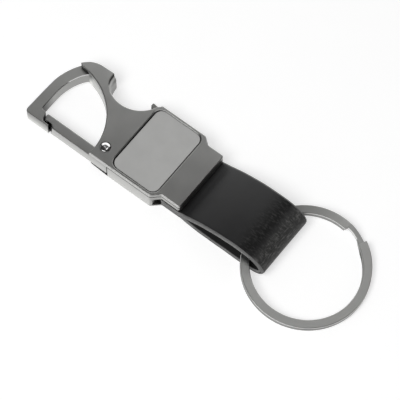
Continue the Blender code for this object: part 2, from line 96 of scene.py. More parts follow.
def offset(poly, d):
    """Move an outline inwards by d, one distance for all points or one for each."""
    out = []
    n = len(poly)
    for i in range(n):
        a, b, c = Vector(poly[i - 1]), Vector(poly[i]), Vector(poly[(i + 1) % n])
        e0, e1 = (b - a).normalized(), (c - b).normalized()
        n0, n1 = Vector((-e0.y, e0.x)), Vector((-e1.y, e1.x))
        m = n0 + n1
        if m.length < 1e-6:
            m = n0
        m.normalize()
        p = b + m * ((d[i] if isinstance(d, list) else d) / max(0.45, m.dot(n0)))
        out.append((p.x, p.y))
    return out


def round_corners(poly, radii, n=4):
    """Round the corners of an outline: radii maps a corner's index to its radius."""
    out = []
    k = len(poly)
    for i, b in enumerate(poly):
        r = radii.get(i)
        if not r:
            out.append(b)
            continue
        a, c, b = Vector(poly[i - 1]), Vector(poly[(i + 1) % k]), Vector(b)
        u, v = (a - b).normalized(), (c - b).normalized()
        half = u.angle(v) / 2
        t = min(r / math.tan(half), (a - b).length * 0.49, (c - b).length * 0.49)
        r = t * math.tan(half)
        centre = b + (u + v).normalized() * (r / math.sin(half))
        s, e = b + u * t - centre, b + v * t - centre
        sweep = s.angle_signed(e)
        for j in range(n + 1):
            q = s.copy()
            q.rotate(Matrix.Rotation(-sweep * j / n, 2))
            out.append(tuple(centre + q))
    return out


def mesh_object(name, verts, faces, smooth=30, body=None):
    me = bpy.data.meshes.new(name)
    me.from_pydata([tuple(v) for v in verts], [], faces)
    bm = bmesh.new()
    bm.from_mesh(me)
    bmesh.ops.recalc_face_normals(bm, faces=bm.faces)
    bm.to_mesh(me)
    bm.free()
    ob = bpy.data.objects.new(name, me)
    scene.collection.objects.link(ob)
    me.shade_smooth()
    if smooth is not None:
        me.set_sharp_from_angle(angle=math.radians(smooth))
    return ob


def stack(name, rings, smooth=30):
    """rings = [(outline, z), ...] with equal point counts; closed at both ends."""
    n = len(rings[0][0])
    verts, faces = [], []
    for poly, z in rings:
        verts += [W(x, y, z) for x, y in poly]
    for k in range(len(rings) - 1):
        for i in range(n):
            j = (i + 1) % n
            faces.append((k * n + i, k * n + j, (k + 1) * n + j, (k + 1) * n + i))
    faces.append(tuple(reversed(range(n))))
    faces.append(tuple(range((len(rings) - 1) * n, len(rings) * n)))
    return mesh_object(name, verts, faces, smooth)


def prism(name, poly, z0, z1, **kw):
    return stack(name, [(poly, z0), (poly, z1)], **kw)


def disc(x, y, r, z0, z1, n, name):
    return prism(name, arc(x, y, r, 0, 360 - 360 / n, n - 1), z0, z1)


def apply_modifiers(ob):
    dg = bpy.context.evaluated_depsgraph_get()
    me = bpy.data.meshes.new_from_object(ob.evaluated_get(dg))
    old = ob.data
    ob.modifiers.clear()
    ob.data = me
    bpy.data.meshes.remove(old)


def boolean(ob, tools, op='DIFFERENCE'):
    for t in tools:
        m = ob.modifiers.new("b", 'BOOLEAN')
        m.operation = op
        m.solver = 'EXACT'
        m.object = t
        bpy.context.view_layer.update()
        apply_modifiers(ob)
    for t in tools:
        bpy.data.objects.remove(t, do_unlink=True)


def soften(ob, width, segments=2, angle=32, sharp=32):
    """Clean a cut mesh and round its edges by `width` mm."""
    bm = bmesh.new()
    bm.from_mesh(ob.data)
    bmesh.ops.remove_doubles(bm, verts=bm.verts, dist=4e-6)
    bmesh.ops.dissolve_degenerate(bm, dist=2e-6, edges=bm.edges)
    bmesh.ops.dissolve_limit(bm, angle_limit=math.radians(0.8), verts=bm.verts, edges=bm.edges)
    bmesh.ops.recalc_face_normals(bm, faces=bm.faces)
    bm.to_mesh(ob.data)
    bm.free()
    ob.data.shade_smooth()
    if width:
        m = ob.modifiers.new("bevel", 'BEVEL')
        m.width = width * MM
        m.segments = segments
        m.limit_method = 'ANGLE'
        m.angle_limit = math.radians(angle)
        m.use_clamp_overlap = True
        m.harden_normals = False
        bpy.context.view_layer.update()
        apply_modifiers(ob)
        ob.data.shade_smooth()
    ob.data.set_sharp_from_angle(angle=math.radians(sharp))
    weigh(ob)
    return ob


def weigh(ob):
    """Flat faces keep flat shading next to their rounded edges."""
    m = ob.modifiers.new("weigh", 'WEIGHTED_NORMAL')
    m.mode = 'FACE_AREA'
    m.weight = 100
    m.keep_sharp = True
    bpy.context.view_layer.update()
    apply_modifiers(ob)


def turned(name, centre, profile, n, smooth=38):
    verts, faces, rows = [], [], []
    cx, cy = centre
    for r, z in profile:
        if r < 1e-6:
            rows.append([len(verts)])
            verts.append(W(cx, cy, z))
        else:
            rows.append(list(range(len(verts), len(verts) + n)))
            verts += [W(cx + r * math.cos(2 * math.pi * i / n), cy + r * math.sin(2 * math.pi * i / n), z)
                      for i in range(n)]
    for a, b in zip(rows, rows[1:]):
        for i in range(n):
            j = (i + 1) % n
            if len(a) == 1 and len(b) > 1:
                faces.append((a[0], b[j], b[i]))
            elif len(b) == 1 and len(a) > 1:
                faces.append((a[i], a[j], b[0]))
            elif len(a) > 1:
                faces.append((a[i], a[j], b[j], b[i]))
    return mesh_object(name, verts, faces, smooth)


def smooth_route(ctrl, per):
    pts = [tuple(2 * ctrl[0][k] - ctrl[1][k] for k in (0, 1))] + list(ctrl) + \
          [tuple(2 * ctrl[-1][k] - ctrl[-2][k] for k in (0, 1))]
    out = []
    for i in range(1, len(pts) - 2):
        p0, p1, p2, p3 = pts[i - 1:i + 3]
        for s in range(per):
            t = s / per
            out.append(tuple(0.5 * (2 * p1[k] + (p2[k] - p0[k]) * t
                                    + (2 * p0[k] - 5 * p1[k] + 4 * p2[k] - p3[k]) * t * t
                                    + (3 * p1[k] - p0[k] - 3 * p2[k] + p3[k]) * t ** 3) for k in (0, 1)))
    out.append(ctrl[-1])
    return out


def resample(route, step):
    """Points at even steps along a route."""
    out = [Vector(route[0])]
    left = step
    for a, b in zip(route, route[1:]):
        a, b = Vector(a), Vector(b)
        length = (b - a).length
        pos = 0.0
        while length - pos >= left:
            pos += left
            out.append(a.lerp(b, pos / length))
            left = step
        left -= length - pos
    if (out[-1] - Vector(route[-1])).length > step * 0.3:
        out.append(Vector(route[-1]))
    return out


# ================================================================= materials
class Mat:
    """A node material with a few shorthands."""

    def __init__(self, name, base, rough, metallic=0.0):
        self.m = bpy.data.materials.new(name)
        self.m.use_nodes = True
        self.nt = self.m.node_tree
        self.b = self.nt.nodes["Principled BSDF"]
        self.b.inputs["Base Color"].default_value = (*base, 1)
        self.b.inputs["Roughness"].default_value = rough
        self.b.inputs["Metallic"].default_value = metallic

    def node(self, kind, **vals):
        n = self.nt.nodes.new(kind)
        for k, v in vals.items():
            if k in n.inputs:
                n.inputs[k].default_value = v
            else:
                setattr(n, k, v)
        return n

    def link(self, a, b):
        self.nt.links.new(a, b)

    def coords(self, scale=(1, 1, 1), rot=(0, 0, 0), uv=None):
        if uv:
            t = self.node("ShaderNodeUVMap", uv_map=uv)
            src = t.outputs["UV"]
        else:
            t = self.node("ShaderNodeTexCoord")
            src = t.outputs["Object"]
        mp = self.node("ShaderNodeMapping")
        mp.inputs["Scale"].default_value = scale
        mp.inputs["Rotation"].default_value = rot
        self.link(src, mp.inputs["Vector"])
        return mp.outputs["Vector"]

    def noise(self, vec, scale, detail=2.0, rough=0.5, distortion=0.0):
        n = self.node("ShaderNodeTexNoise")
        n.inputs["Scale"].default_value = scale
        n.inputs["Detail"].default_value = detail
        n.inputs["Roughness"].default_value = rough
        n.inputs["Distortion"].default_value = distortion
        self.link(vec, n.inputs["Vector"])
        return n.outputs["Fac"]

    def rng(self, val, a, b, c, d, smooth=False):
        n = self.node("ShaderNodeMapRange")
        n.interpolation_type = 'SMOOTHSTEP' if smooth else 'LINEAR'
        n.clamp = True
        for i, v in zip(("From Min", "From Max", "To Min", "To Max"), (a, b, c, d)):
            n.inputs[i].default_value = v
        self.link(val, n.inputs["Value"])
        return n.outputs["Result"]

    def math(self, op, a, b=None):
        n = self.node("ShaderNodeMath")
        n.operation = op
        for i, v in enumerate((a, b)):
            if v is None:
                continue
            if isinstance(v, (int, float)):
                n.inputs[i].default_value = v
            else:
                self.link(v, n.inputs[i])
        return n.outputs[0]

    def mix(self, fac, a, b):
        n = self.node("ShaderNodeMix")
        n.data_type = 'RGBA'
        if isinstance(fac, (int, float)):
            n.inputs["Factor"].default_value = fac
        else:
            self.link(fac, n.inputs["Factor"])
        for key, v in (("A", a), ("B", b)):
            sock = [s for s in n.inputs if s.name == key and s.type == 'RGBA'][0]
            if isinstance(v, tuple):
                sock.default_value = (*v, 1) if len(v) == 3 else v
            else:
                self.link(v, sock)
        return [s for s in n.outputs if s.type == 'RGBA'][0]

    def scaled(self, col, by):
        n = self.node("ShaderNodeVectorMath")
        n.operation = 'SCALE'
        self.link(col, n.inputs[0])
        self.link(by, n.inputs["Scale"])
        return n.outputs[0]

    def bump(self, height, strength, distance, after=None):
        n = self.node("ShaderNodeBump")
        n.inputs["Strength"].default_value = strength
        n.inputs["Distance"].default_value = distance
        self.link(height, n.inputs["Height"])
        if after is not None:
            self.link(after, n.inputs["Normal"])
        return n.outputs["Normal"]

    def set(self, socket, out):
        self.link(out, self.b.inputs[socket])


def metal(name, base, rough, grain=0.5, vary=0.05, grain_mm=0.09, wall=None, nose=None, fade=None, field=None):
    """Satin plated metal: fine blasted grain and soft blotches in the sheen.
    wall and nose: painted light and shade on the upright faces, one scale at the top and one at the bottom (5.2 and
    1.4 mm); nose takes over from wall at the front of the hook's nose, and faces turned towards the dark strap are
    darkened as a painted reflection.
    fade = (y0, y1, scale at y0): painted shade that deepens towards y0; field = (x0, x1, y0, y1, change at y0, change
    at y1): painted light and shade, fading out from x0 to x1."""
    m = Mat(name, base, rough, 1.0)
    c = m.coords()
    blotch = m.noise(c, 170.0, 3.0, 0.55)
    fine = m.noise(c, 1.0 / (grain_mm * MM), 2.0, 0.6)
    smear = m.noise(m.coords(scale=(1, 5, 1), rot=(0, 0, 0.5)), 420.0, 4.0, 0.6)
    r = m.math('ADD', m.rng(blotch, 0.3, 0.7, rough - vary * 0.5, rough + vary * 0.5),
               m.rng(smear, 0.45, 0.75, 0.0, vary * 0.5))
    r = m.math('ADD', r, m.rng(fine, 0.3, 0.7, -0.02, 0.02))
    m.set("Roughness", r)
    dark = tuple(x * 0.97 for x in base)
    lite = tuple(min(1, x * 1.03) for x in base)
    col = m.mix(m.rng(blotch, 0.35, 0.65, 0, 1), dark, lite)
    # painted light and shade on the upright faces, scaled by height
    if wall:
        tc = m.node("ShaderNodeTexCoord")
        up, at = m.node("ShaderNodeSeparateXYZ"), m.node("ShaderNodeSeparateXYZ")
        m.link(tc.outputs["Normal"], up.inputs[0])
        m.link(tc.outputs["Object"], at.inputs[0])
        upright = m.rng(m.math('ABSOLUTE', up.outputs["Z"]), 0.3, 0.75, 1, 0)
        tint = m.rng(at.outputs["Z"], 0.0014, 0.0052, wall[1], wall[0])
        if nose:
            front = m.rng(at.outputs["X"], -0.0446, -0.0438, 1, 0)
            ramp = m.math('POWER', m.rng(at.outputs["Z"], 0.0014, 0.0052, 1, 0), 1.35)
            ramp = m.math('ADD', m.math('MULTIPLY', ramp, nose[1] - nose[0]), nose[0])
            tint = m.math('ADD', m.math('MULTIPLY', tint, m.math('SUBTRACT', 1.0, front)),
                          m.math('MULTIPLY', ramp, front))
        tint = m.math('ADD', m.math('MULTIPLY', m.math('SUBTRACT', tint, 1.0), upright), 1.0)
        slant = m.math('MULTIPLY', m.rng(up.outputs["X"], 0.2, 0.55, 0, 1), m.rng(up.outputs["Y"], -0.3, -0.1, 1, 0))
        tint = m.math('MULTIPLY', tint, m.rng(slant, 0, 1, 1, 0.70))          # painted reflection: the shoulder faces, turned towards the dark strap, are darkened
        col = m.scaled(col, tint)
    # painted shade (fade) and painted light and shade (field), placed by position
    if fade or field:
        spot = m.node("ShaderNodeSeparateXYZ")
        m.link(m.node("ShaderNodeTexCoord").outputs["Object"], spot.inputs[0])
        if fade:
            col = m.scaled(col, m.rng(spot.outputs["Y"], fade[0], fade[1], fade[2], 1))
        if field:
            x0, x1, y0, y1, a, b = field
            change = m.math('MULTIPLY', m.rng(spot.outputs["X"], x0, x1, 1, 0), m.rng(spot.outputs["Y"], y0, y1, a, b))
            col = m.scaled(col, m.math('ADD', change, 1.0))
    m.set("Base Color", col)
    m.set("Normal", m.bump(fine, grain, 5e-6))
    return m


# The wall and nose scales paint light and shade on the upright faces: the cover's walls are lightened evenly, the
# frame's and the gate's are lightened towards the bottom, and the nose's wall is darkened at the top and lightened at
# the bottom.
COVER_MAT = metal("gunmetal_satin_fine", (0.46, 0.46, 0.449), 0.36, vary=0.03, wall=(1.14, 1.14))
FRAME_MAT = metal("gunmetal_cast_fine", (0.446, 0.446, 0.435), 0.36, vary=0.03, grain_mm=0.12,
                  wall=(1.095, 1.31), nose=(0.63, 1.785))
GATE_MAT = metal("gate_satin", (0.470, 0.470, 0.459), 0.36, vary=0.03, wall=(0.95, 1.29))
# painted shade: a slightly darker copy of the frame metal for the scoop's face
SCOOP_MAT = metal("gunmetal_scoop", (0.42, 0.42, 0.411), 0.38, vary=0.03, grain_mm=0.12)
# painted shade: a dimmer copy of the plated metal for faces that mirror dark surroundings
PAINTED_DIM_MAT = metal("gunmetal_painted_dim_shade", (0.30, 0.30, 0.292), 0.42, vary=0.04, grain_mm=0.12)
# painted shade: a dimmer copy for the arm's inner wall, darkened further towards the nose's corner
ARM_MAT = metal("gunmetal_arm_painted_shade", (0.35, 0.35, 0.341), 0.42, vary=0.04, grain_mm=0.12,
                fade=(-0.0068, -0.0026, 0.24))
# painted shadow: near black for seams, gaps, recesses and undersides
SHADE_MAT = metal("gunmetal_painted_shadow", (0.028, 0.028, 0.027), 0.6, grain=0.6)
INLAY_MAT = metal("inlay_satin", (0.53, 0.53, 0.52), 0.62, grain=0.2, vary=0.01)
# painted light: a duller, mostly diffuse copy for the pocket's -X chamfer, lit evenly instead of mirroring the dark
# side
RIM_MAT = metal("pocket_rim_satin", (0.42, 0.42, 0.411), 0.62, grain=0.2, vary=0.01)
# painted highlight: a bright copy for the thin light line along the arm's inner top edge
ARM_EDGE = metal("arm_painted_highlight", (0.96, 0.96, 0.95), 0.62, grain=0.2, vary=0.01)
for soft in (INLAY_MAT, RIM_MAT, ARM_EDGE):
    soft.b.inputs["Metallic"].default_value = 0.12
    soft.b.inputs["Specular IOR Level"].default_value = 0.3
# field: painted light and shade on the ring near the strap, lighter on the -Y side and darker on the +Y side, fading
# out away from the strap
RING_MAT = metal("ring_nickel_satin", (0.60, 0.60, 0.585), 0.42, vary=0.03, grain_mm=0.07,
                 field=(0.0215, 0.0350, -0.004, 0.008, 0.20, -0.50))
# painted shade: a dimmer copy for the ring's walls
RING_WALL = metal("ring_wall_painted_shade", (0.30, 0.30, 0.293), 0.42, vary=0.03, grain_mm=0.07)
# painted light: a duller, less metallic copy that keeps the sloping step from going dark
RING_SLOPE = metal("ring_slope_painted_light", (0.44, 0.44, 0.43), 0.5, vary=0.03, grain_mm=0.07)
RING_SLOPE.b.inputs["Metallic"].default_value = 0.3
# painted highlight: a bright copy for the rounded upper edges
RING_EDGE = metal("ring_painted_highlight", (0.74, 0.74, 0.725), 0.30, vary=0.03, grain_mm=0.07)
CHROME_MAT = metal("rivet_polished", (0.86, 0.86, 0.86), 0.17, grain=0.05, vary=0.02)
TOOTH_MAT = metal("tooth_steel", (0.30, 0.30, 0.29), 0.34)
# painted shade for the tooth's faces turned to -X
TOOTH_DARK = metal("tooth_painted_shade", (0.10, 0.10, 0.098), 0.4)
STEEL_MAT = metal("spring_wire", (0.62, 0.62, 0.60), 0.24, vary=0.04)
ZINC_MAT = metal("screw_zinc", (0.66, 0.67, 0.70), 0.32, vary=0.06)
PIN_STEEL = metal("pin_steel", (0.60, 0.60, 0.60), 0.30, vary=0.05)

adh = Mat("adhesive_clear", (0.72, 0.70, 0.62), 0.55)
adh_n = adh.noise(adh.coords(), 900.0, 3.0)
adh.set("Base Color", adh.mix(adh.rng(adh_n, 0.3, 0.7, 0, 1), (0.68, 0.66, 0.58), (0.76, 0.74, 0.66)))
adh.set("Normal", adh.bump(adh_n, 0.3, 1e-5))


def leather(name, base, rough, uv, creases=True):
    """Black grain leather. uv is in decimetres: u along the strap, v across it."""
    m = Mat(name, base, rough)
    m.b.inputs["Specular IOR Level"].default_value = 0.42
    m.b.inputs["Sheen Weight"].default_value = 0.0
    c = m.coords(uv=uv)
    pebble = m.node("ShaderNodeTexVoronoi", feature='SMOOTH_F1')
    pebble.inputs["Scale"].default_value = 230.0
    pebble.inputs["Smoothness"].default_value = 0.55
    pebble.inputs["Randomness"].default_value = 1.0
    warp = m.noise(c, 120.0, 3.0, 0.6)
    m.link(c, pebble.inputs["Vector"])
    fine = m.noise(c, 900.0, 3.0, 0.65)
    cloud = m.noise(c, 22.0, 4.0, 0.6)
    height = m.math('ADD', m.math('MULTIPLY', pebble.outputs["Distance"], 0.8), m.math('MULTIPLY', fine, 0.35))
    col = m.mix(m.rng(cloud, 0.3, 0.7, 0, 1), tuple(x * 0.85 for x in base), tuple(x * 1.2 for x in base))
    r = m.math('ADD', m.rng(cloud, 0.3, 0.7, rough - 0.04, rough + 0.05), m.rng(fine, 0.3, 0.7, -0.05, 0.05))
    n0 = m.bump(height, 0.32, 1.6e-5)
    if creases:
        sep = m.node("ShaderNodeSeparateXYZ")
        m.link(m.coords(uv=uv), sep.inputs[0])
        u = sep.outputs["X"]
        zone = m.math('MULTIPLY', m.rng(u, 0.318, 0.342, 0, 1, True), m.rng(u, 0.362, 0.405, 1, 0, True))
        lines = m.noise(m.coords(scale=(0.24, 1.0, 1), uv=uv), 330.0, 2.0, 0.6, 0.6)
        lines2 = m.noise(m.coords(scale=(1.0, 0.22, 1), uv=uv), 260.0, 2.0, 0.6, 0.5)
        both = m.math('MAXIMUM', m.math('MULTIPLY', m.rng(lines, 0.50, 0.62, 0, 1), m.rng(u, 0.335, 0.36, 1, 0.25)),
                      m.math('MULTIPLY', m.rng(lines2, 0.52, 0.66, 0, 1), m.rng(u, 0.325, 0.35, 0, 1)))
        scuff = m.math('MULTIPLY', both, zone)
        patch = m.rng(m.noise(c, 45.0, 3.0, 0.6), 0.35, 0.62, 0.35, 1.0)
        scuff = m.math('MULTIPLY', scuff, patch)
        side = m.rng(sep.outputs["Y"], -0.06, 0.09, 0.0, 1.0)      # the +Y side is a little lighter than the other
        col = m.mix(side, col, tuple(x + 0.02 for x in base))
        worn = m.mix(both, (0.042, 0.042, 0.041), (0.150, 0.149, 0.144))
        col = m.mix(m.math('MULTIPLY', zone, m.rng(patch, 0.35, 1.0, 0.6, 0.95)), col, worn)
        # painted shade: a dark band just before the fold, where the leather turns away from the light, with more
        # roughness
        band = m.math('MULTIPLY', m.rng(u, 0.245, 0.302, 0, 1, True), m.rng(u, 0.311, 0.330, 1, 0, True))
        col = m.mix(m.math('MULTIPLY', band, 0.85), col, m.mix(m.math('MULTIPLY', both, patch), (0.002, 0.002, 0.002),
                                                                (0.042, 0.042, 0.041)))
        r = m.math('ADD', r, m.math('MULTIPLY', band, 0.26))
        # painted shadow: the upper run of leather goes near black inside the clasp, up to its mouth
        col = m.mix(m.rng(u, 0.071, 0.084, 1, 0, True), col, (0.0008, 0.0008, 0.0008))
        r = m.math('ADD', r, m.math('MULTIPLY', scuff, 0.12))
        n0 = m.bump(m.math('MULTIPLY', both, zone), 0.35, 2.5e-5, n0)
    m.set("Base Color", col)
    m.set("Roughness", r)
    m.set("Normal", n0)
    return m


LEATHER = leather("leather_black", (0.0125, 0.0125, 0.0130), 0.46, "strap_uv")
LINING = leather("leather_lining_black", (0.020, 0.020, 0.020), 0.62, "strap_uv", creases=False)
EDGE = leather("leather_edge_burnished", (0.15, 0.15, 0.149), 0.5, "strap_uv", creases=False)


def skin(ob, *mats):
    kept = [f.material_index for f in ob.data.polygons]          # clearing the slots would reset them
    ob.data.materials.clear()
    for m in mats:
        ob.data.materials.append(m.m if isinstance(m, Mat) else m)
    for f, i in zip(ob.data.polygons, kept):
        f.material_index = min(i, len(mats) - 1)


def shade_faces(ob, test, index=1):
    """Give the material at `index` (the second by default) to the faces whose centre (body frame, mm) and normal pass
    the test; the script paints shadow, shade and highlights this way.
    """
    for f in ob.data.polygons:
        c = f.center
        if test(c.x / MM - OX, c.y / MM - OY, c.z / MM, f.normal):
            f.material_index = index


def edge_distance(poly, x, y):
    best = 1e9
    for (ax, ay), (bx, by) in zip(poly, poly[1:] + poly[:1]):
        ex, ey = bx - ax, by - ay
        t = max(0.0, min(1.0, ((x - ax) * ex + (y - ay) * ey) / max(1e-12, ex * ex + ey * ey)))
        best = min(best, math.hypot(x - ax - t * ex, y - ay - t * ey))
    return best


# ================================================================== outlines
HALF_W, CLASP_Y, CLASP_X = 11.6, (-9.40, 9.85), 18.22
SHOULDER_NEAR, SHOULDER_FAR, SLOT_X = (9.7, 12.1), (10.75, 12.9), 10.2
BODY_T, COVER_Z, FRAME_Z, HOOK_Z = 6.8, 5.5, 5.35, 1.3
HOOK_TIP_X, HOOK_LIP_X, ARM_IN_X, NOSE_Y = -20.5, -19.57, -29.82, -11.8
OUT0, OUT1, OUT2, OUT3 = (-24.0, 11.25), (-29.2, 11.25), (-32.2, 6.0), (-32.2, -1.0)
PC_Y = 0.1
r = 0.65
near = round_corners([(0, -HALF_W), (SHOULDER_NEAR[0], -HALF_W), (SHOULDER_NEAR[1], CLASP_Y[0]), (15, CLASP_Y[0])],
                     {1: 1.2, 2: 1.0}, 5)[1:-1]
far = round_corners([(15, CLASP_Y[1]), (SHOULDER_FAR[1], CLASP_Y[1]), (SHOULDER_FAR[0], HALF_W), (0, HALF_W)],
                    {1: 1.0, 2: 1.2}, 5)[1:-1]
SIDE_AND_CLASP = (near
                  + arc(CLASP_X - r, CLASP_Y[0] + r, r, -90, 0, 8)
                  + arc(CLASP_X - r, CLASP_Y[1] - r, r, 0, 90, 8)
                  + far)
CORNER = arc(-3.75, HALF_W - 0.75, 0.75, 90, 158, 8)


def cover_outline():
    p = [(ellipse_by_x(-20, -HALF_W, 4)[-1])]
    p += SIDE_AND_CLASP + CORNER
    p += opener_arc(10.40, -134.0, 62)
    p += bezier((-19.85, 8.05), (-20.3, 8.85), (-20.55, 9.9), (HOOK_TIP_X, 11.15), 0.0, 1.0, 8)
    p += [(-20.66, 11.38), (-21.2, 11.4)]
    p += bezier((OUT0[0], OUT0[1] + 0.05), (-29.45, 11.4), (-32.5, 6.2), (-32.5, -1.0), 0.0, 0.455, 22)
    p += ellipse_by_x(-29.15, -HALF_W, 90)[:-1]
    return p


def arm_swell(y):
    """The hook arm's outer side is a little fuller than its base curve, most of all in its middle."""
    t = max(0.0, min(1.0, (7.8 - y) / 8.8))
    return 0.58 * t * t * (3 - 2 * t) - 0.035 * max(0.0, -3.0 - y)


def frame_outline():
    p = [(ellipse_by_x(-20, -HALF_W, 4)[-1])]
    p += SIDE_AND_CLASP + CORNER
    p += opener_arc(10.40, -126.0, 56)
    p += bezier((-18.72, 7.45), (-19.2, 8.4), (-19.5, 9.6), (HOOK_LIP_X, 10.7), 0.0, 1.0, 8)
    p += [(-19.85, 11.15), (-20.3, 11.27)]
    arm = bezier(OUT0, OUT1, OUT2, OUT3, 0.0, 1.0, 40) + [(-32.26, -2.2), (-32.33, -3.4), (-32.39, -4.5)]
    arm += [(-32.45, -5.5), (-32.52, -6.6), (-32.61, -7.8), (-32.7, -9.0), (-32.8, -10.3)]
    arm += arc(-31.7, NOSE_Y + 1.1, 1.1, 190, 262, 10)
    p += [(x - arm_swell(y), y) for x, y in arm]
    p += [(-30.6, NOSE_Y), (-25.2, NOSE_Y), (-25.12, NOSE_Y + 0.08), (-25.32, -11.3), (-25.4, -11.26)]
    p += [(-27.15, -11.12), (-27.35, -11.02), (-27.72, -10.45), (-28.18, -9.1), (-28.35, -8.72), (-28.6, -8.6),
          (-29.4, -8.5), (-29.7, -8.35), (ARM_IN_X, -7.9)]
    p += bezier((ARM_IN_X, -3.0), (ARM_IN_X, 2.5), (-27.6, 6.2), (-26.15, 7.38), 0.0, 1.0, 30)
    p += ellipse_by_x(-25.6, -HALF_W, 80)[:-1]
    return p


COVER, FRAME = cover_outline(), frame_outline()
CARAB_EDGE = ellipse_by_x(-29.15, -HALF_W, 60)
PIVOT = (-8.5, -7.55)
BORE_R = 1.03

# ================================================================ body frame
C = 0.2


def edge_round(x, y):
    """Radius of the frame's upper edge: wide on the nose, small at the seam with the cover."""
    if x < -25.2 and y < -10.2 and (y < NOSE_Y + 0.01 or x < -30.5):
        return 0.30
    if -30.2 < x < -26.0 and -8.4 < y < 7.2:
        return 0.28
    return 0.09


ROUND = [edge_round(x, y) for x, y in FRAME]
for _ in range(2):
    ROUND = [(ROUND[i - 1] + 2 * ROUND[i] + ROUND[(i + 1) % len(ROUND)]) / 4 for i in range(len(ROUND))]
n_f = len(FRAME)
levels = [(offset(FRAME, C), [0.0] * n_f), (offset(FRAME, C * 0.3), [C * 0.3] * n_f), (FRAME, [C] * n_f)]
for k in range(6):
    a = math.radians(18 * k)
    levels.append((offset(FRAME, [q * (1 - math.cos(a)) for q in ROUND]),
                   [FRAME_Z - q * (1 - math.sin(a)) for q in ROUND]))
fv, ff = [], []
for poly, zs in levels:
    fv += [W(x, y, z) for (x, y), z in zip(poly, zs)]
for k in range(len(levels) - 1):
    for i in range(n_f):
        j = (i + 1) % n_f
        ff.append((k * n_f + i, k * n_f + j, (k + 1) * n_f + j, (k + 1) * n_f + i))
ff += [tuple(reversed(range(n_f))), tuple(range((len(levels) - 1) * n_f, len(levels) * n_f))]
frame_ob = mesh_object("frame_casting", fv, ff)
arm_under = [(-25.5, 0.0)] + list(reversed(ellipse_by_x(-29.3, 6.6, 20))) + \
            [(-30.1, 8.55), (-36.0, 10.0), (-36.0, -16.0), (-20.0, -16.0), (-20.0, 0.0)]
slot_poly = [(SLOT_X, -14), (21, -14), (21, 14), (10.8, 14), (10.8, 10.6), (SLOT_X, 9.9)]


def scoop(name):
    """Slanted, slightly hollow face from the cover's edge down to the lip of the opener's hook."""
    low = [(-19.55, 14.0), (-19.55, 10.7)] + bezier((-19.5, 10.1), (-19.42, 9.4), (-19.15, 8.3), (-18.7, 7.45),
                                                    0, 1, 6) + [(-17.6, 5.95), (-14.0, 7.5), (-14.0, 14.0)]
    high = [(-20.55, 14.0), (-20.55, 11.2)] + bezier((-20.5, 10.6), (-20.45, 9.7), (-20.2, 8.8), (-19.75, 7.9),
                                                     0, 1, 6) + [(-18.3, 6.33), (-14.0, 7.5), (-14.0, 14.0)]
    rings = []
    for i in range(7):
        t = i / 6
        s = t + 0.08 * math.sin(math.pi * t)
        poly = [(a[0] + (b[0] - a[0]) * s, a[1] + (b[1] - a[1]) * s) for a, b in zip(low, high)]
        rings.append((poly, 3.9 + (5.36 - 3.9) * t))
    return stack(name, rings + [(high, 6.6)])


# low shelf of the nose; the tip of the gate rests over it
SHELF_Z, TIP_Z = 2.9, 3.05
boolean(frame_ob, [prism("c0", [(-28.9, -11.5), (-25.35, -11.5), (-25.12, -11.2), (-25.12, -9.0), (-28.9, -9.0)],
                         HOOK_Z + 0.0003, SHELF_Z)], 'UNION')
boolean(frame_ob, [
    prism("c1", arm_under, -1.0, HOOK_Z),
    prism("c2", slot_poly, 0.70, 3.9),
    disc(PIVOT[0], PIVOT[1], 2.75, HOOK_Z, 7.0, 64, "c3"),
    prism("c4", [(-15.0, -14.0), (PIVOT[0], -14.0), (PIVOT[0], -7.0), (-15.0, -7.0)], HOOK_Z + 0.0005, 7.1),
    prism("c5", [(PIVOT[0] - 0.2, -13.9), (-4.75, -13.9), (-4.75, -8.3), (PIVOT[0] - 0.2, -8.3)],
          HOOK_Z + 0.001, 7.2),
    prism("c6", [(-7.4, -6.0), (-6.45, -6.0), (-6.45, -3.0), (-7.4, -3.0)], 4.2, 7.0),
    prism("c7", [(-12.5, -13.0), (-4.75, -13.0), (-4.75, -11.54), (-12.5, -11.12)], -1.0, HOOK_Z - 0.3),
    prism("c8", [(-12.4, -12.9), (-4.752, -12.9), (-4.752, -10.7), (-12.4, -10.7)], HOOK_Z - 0.301, HOOK_Z + 0.2),
    disc(PIVOT[0], PIVOT[1], BORE_R + 0.04, -1.0, 3.0, 48, "c9"),
    disc(PIVOT[0], PIVOT[1], 1.75, -1.0, 0.75, 56, "c10"),
    prism("c11", round_rect(-4.3, 10.35, PC_Y - 9.7, PC_Y + 9.7, 1.5), 4.75, 8.0),
    prism("c12", [(-9.0, 9.55), (-2.9, 9.55), (-2.9, 13.0), (-9.0, 13.0)], 2.05, 8.0),
    scoop("c13"),
])
soften(frame_ob, 0.05)
skin(frame_ob, FRAME_MAT, SHADE_MAT, PAINTED_DIM_MAT, SCOOP_MAT, ARM_MAT, ARM_EDGE)


# Faces painted near black as shadow: the seam under the cover, the relief under the gate's heel, the nose's inner wall
# and its shelf, and the roof of the strap slot.
def frame_gap(x, y, z, n):
    if 5.29 < z < 5.36 and x > -22 and abs(n.z) < 0.98:            # the seam under the cover
        return edge_distance(COVER, x, y) < 0.3
    if -12.6 < x < -4.6 and -11.58 < y < -10.6 and z < 1.35 and n.y < 0.5 and n.z > -0.5:      # relief under the heel
        return True
    if -28.95 < x < -25.0 and -11.52 < y < -8.75 and abs(n.z) < 0.6 and z > 1.4:      # the nose's inner wall
        return n.y > -0.9 or y > -11.4
    if -28.95 < x < -25.0 and -11.52 < y < -8.75 and 2.8 < z < 3.0:       # its shelf
        return True
    return 10.0 < x and 1.1 < z < 3.91 and abs(y) < 9.5 and n.z < -0.9    # roof of the strap slot


